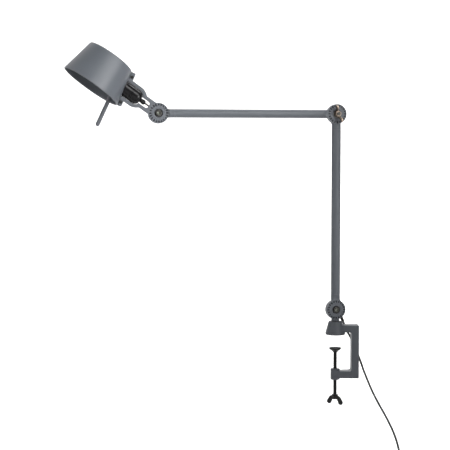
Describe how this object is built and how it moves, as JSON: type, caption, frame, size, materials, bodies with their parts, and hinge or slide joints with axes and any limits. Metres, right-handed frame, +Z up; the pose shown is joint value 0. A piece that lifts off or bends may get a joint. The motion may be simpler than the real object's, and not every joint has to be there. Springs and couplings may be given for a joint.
{
  "type": "swing arm desk lamp",
  "caption": "Desk lamp on a screw clamp, with tube arms, friction disc joints, a forked yoke and a drum shade with a handle rod.",
  "frame": {"origin": "middle of the rubber pad under the cone, on the table top, where the swivel axis meets it", "axes": "+Z up along the swivel axis, +X towards the clamp's bar, -Y towards the viewer; the arms reach towards -X"},
  "size_m": [0.7478, 0.2244, 1.0755],
  "materials": {
    "clamp_paint": "matte",
    "arm_paint": "matte",
    "steel": "satin",
    "black_steel": "satin",
    "black_plastic": "gloss",
    "rubber": "matte",
    "brass": "satin",
    "ceramic": "matte",
    "opal_glass": "satin",
    "cord_cover": "matte"
  },
  "bodies": {
    "clamp": {"clamp_frame": "clamp_paint", "table_pad": "rubber", "swivel_bush": "black_plastic", "cord": "cord_cover", "cord_coil": "cord_cover", "coil_tie": "black_plastic", "cord_tail": "cord_cover", "plug_body": "black_plastic", "plug_pins": "brass"},
    "post": {"swivel_post": "arm_paint", "swivel_washer": "steel", "swivel_nut": "steel", "cord_gland": "rubber"},
    "lower_arm": {"lower_friction_disc": "black_plastic", "lower_joint_nut": "steel", "lower_joint_washer": "steel", "lower_joint_bolt": "steel", "lower_arm_foot": "arm_paint", "lower_arm_tube": "arm_paint", "lower_arm_top": "arm_paint", "lower_arm_lead": "rubber", "lower_arm_screws": "steel", "elbow_bolt": "steel"},
    "upper_arm": {"elbow_friction_disc": "black_plastic", "elbow_washer": "steel", "upper_arm_foot": "arm_paint", "upper_arm_tube": "arm_paint", "upper_arm_top": "arm_paint", "upper_arm_lead": "rubber", "upper_arm_screws": "steel", "head_friction_disc": "black_plastic", "head_washer": "steel"},
    "elbow_nut": {"elbow_wing_nut": "steel"},
    "head_nut": {"head_wing_nut": "steel"},
    "head": {"head_bolt": "steel", "yoke": "arm_paint", "yoke_screws": "steel", "yoke_nuts": "steel", "shade": "arm_paint", "holder_cap": "black_plastic", "holder_sleeve": "black_plastic", "holder_ring": "black_plastic", "holder_insulator": "ceramic", "holder_shell": "brass", "holder_contact": "brass", "cord_grip": "black_plastic", "head_lead": "rubber", "bulb_glass": "opal_glass", "bulb_cap": "brass", "handle_rod": "arm_paint", "handle_bracket": "arm_paint", "handle_nut": "steel"},
    "screw_pad": {"screw_pad": "black_steel", "pad_facing": "rubber"},
    "screw": {"clamp_screw": "black_steel", "wing_head": "black_steel", "wing_pin": "steel"}
  },
  "joints": [
    {"name": "base_swivel", "type": "hinge", "parent": "clamp", "child": "post", "pos_m": [0, 0, 0], "axis": [0, 0, 1], "range_deg": [-160, 160]},
    {"name": "lower_tilt", "type": "hinge", "parent": "post", "child": "lower_arm", "pos_m": [0, 0, 0.0565], "axis": [-0.225, 0.9744, 0], "range_deg": [-80, 80]},
    {"name": "elbow_tilt", "type": "hinge", "parent": "lower_arm", "child": "upper_arm", "pos_m": [0, 0, 0.4945], "axis": [-0.225, 0.9744, 0], "range_deg": [-30, 180]},
    {"name": "head_tilt", "type": "hinge", "parent": "upper_arm", "child": "head", "pos_m": [-0.39168, -0.09043, 0.49099], "axis": [-0.225, 0.9744, 0], "range_deg": [-140, 75]},
    {"name": "elbow_nut_turn", "type": "hinge", "parent": "lower_arm", "child": "elbow_nut", "pos_m": [0, 0, 0.4945], "axis": [-0.225, 0.9744, 0], "range_deg": [0, 360]},
    {"name": "head_nut_turn", "type": "hinge", "parent": "head", "child": "head_nut", "pos_m": [-0.39168, -0.09043, 0.49099], "axis": [-0.225, 0.9744, 0], "range_deg": [0, 360]},
    {"name": "pad_slide", "type": "slide", "parent": "clamp", "child": "screw_pad", "axis": [0, 0, 1], "range_m": [-0.034, 0.029]},
    {"name": "screw_turn", "type": "hinge", "parent": "screw_pad", "child": "screw", "pos_m": [0, 0, -0.1], "axis": [0, 0, 1], "range_deg": [-9792, 8352]}
  ],
  "couplings": [
    {"joint": "pad_slide", "follows": "screw_turn", "m_per_rad": 0.00019894}
  ]
}
